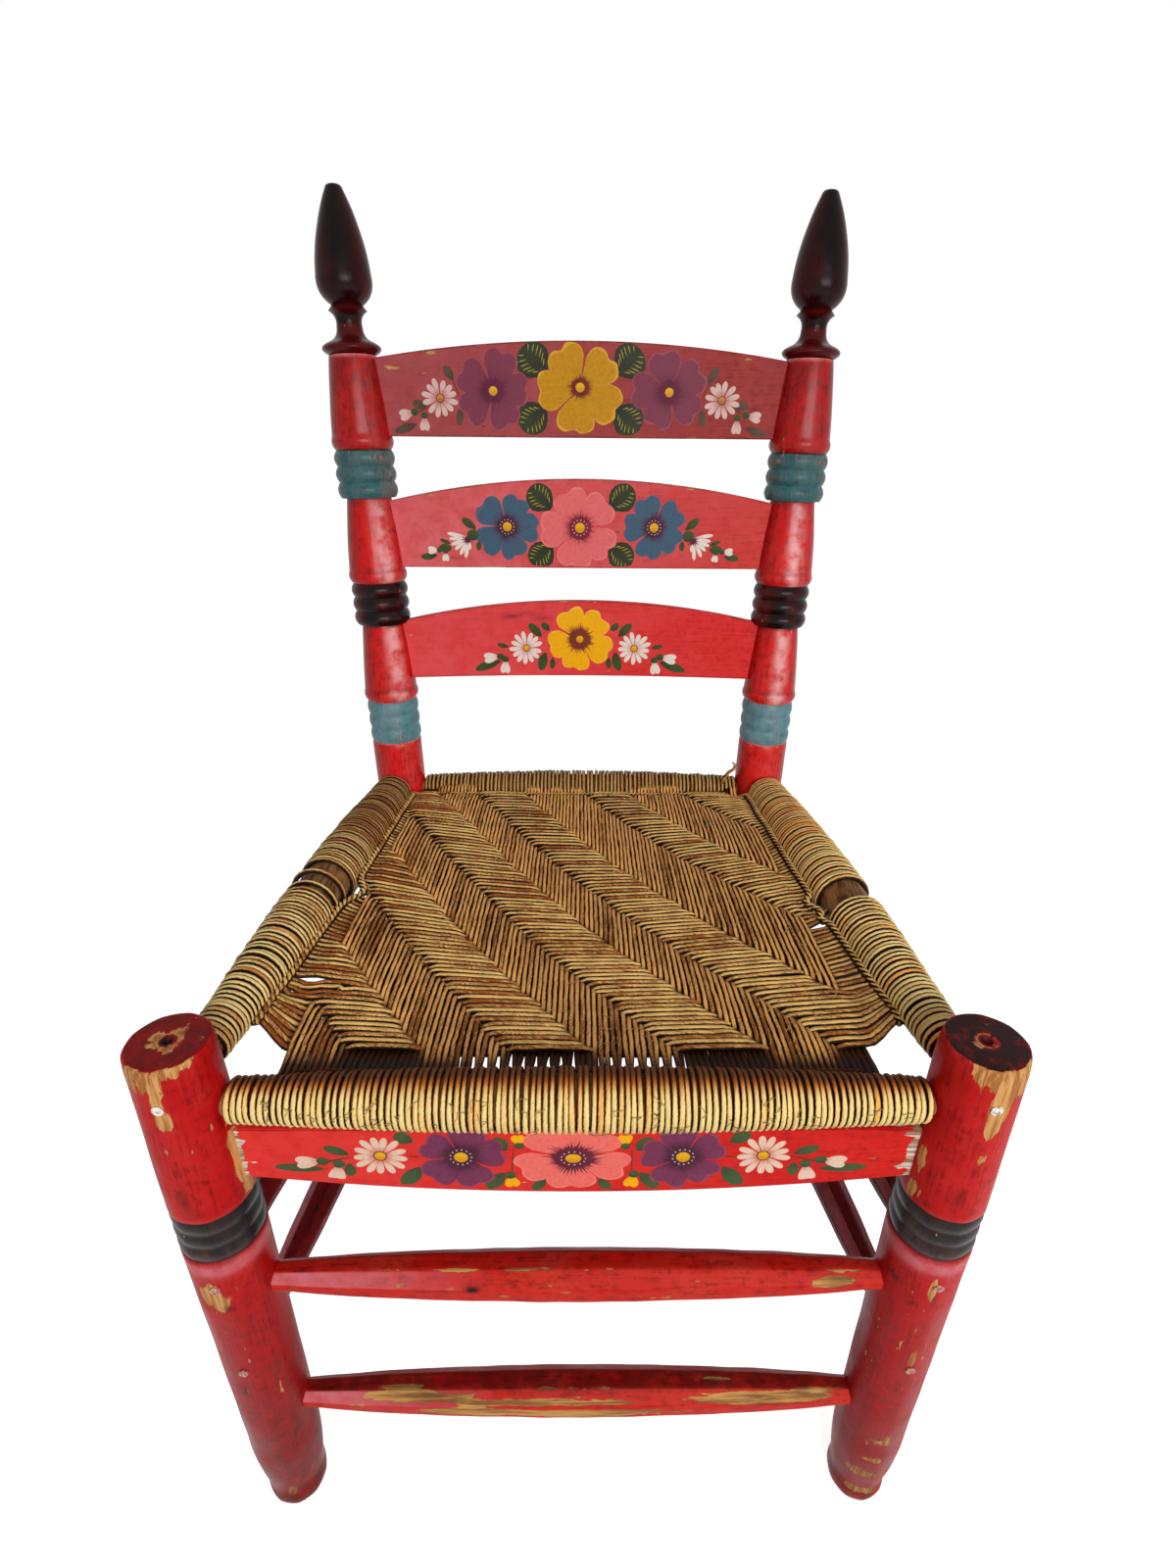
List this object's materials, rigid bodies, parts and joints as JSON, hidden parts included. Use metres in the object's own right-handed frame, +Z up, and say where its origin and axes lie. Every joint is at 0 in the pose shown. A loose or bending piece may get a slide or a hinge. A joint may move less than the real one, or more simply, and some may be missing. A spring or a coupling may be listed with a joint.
{
  "type": "painted ladder-back side chair",
  "caption": "Low ladder-back side chair: turned posts with finials, painted flower slats and apron, tapered stretchers and a twill seat woven of twisted cord.",
  "frame": {"origin": "on the floor plane under the middle of the chair's bounding box", "axes": "+Z up, -Y towards the front of the chair, +X to the right of someone looking at its front"},
  "size_m": [0.478, 0.4416, 0.888],
  "materials": {
    "red_paint": "glossy red paint, worn to the wood at edges",
    "post_paint": "glossy crimson lacquer with teal and black ring bands and black finials",
    "board_paint": "red paint with painted flower sprays, worn at edges",
    "bare_wood": "bare turned wood",
    "seat_cord": "twisted plant-fibre cord, aged golden to brown",
    "nail_steel": "bright worn nail heads"
  },
  "bodies": {
    "root": {"front_leg_left": "red_paint", "front_leg_right": "red_paint", "rear_post_left": "post_paint", "rear_post_right": "post_paint", "seat_rail_front": "bare_wood", "seat_rail_back": "bare_wood", "seat_rail_left": "bare_wood", "seat_rail_right": "bare_wood", "stretcher_left_upper": "red_paint", "stretcher_left_lower": "red_paint", "stretcher_right_upper": "red_paint", "stretcher_right_lower": "red_paint", "stretcher_front_upper": "red_paint", "stretcher_front_lower": "red_paint", "stretcher_rear": "red_paint", "front_apron": "board_paint", "slat_top": "board_paint", "slat_middle": "board_paint", "slat_bottom": "board_paint", "seat_wrap_front": "seat_cord", "seat_wrap_back": "seat_cord", "seat_wrap_left": "seat_cord", "seat_wrap_right": "seat_cord", "seat_panel": "seat_cord", "tenon_nails": "nail_steel"}
  },
  "joints": []
}
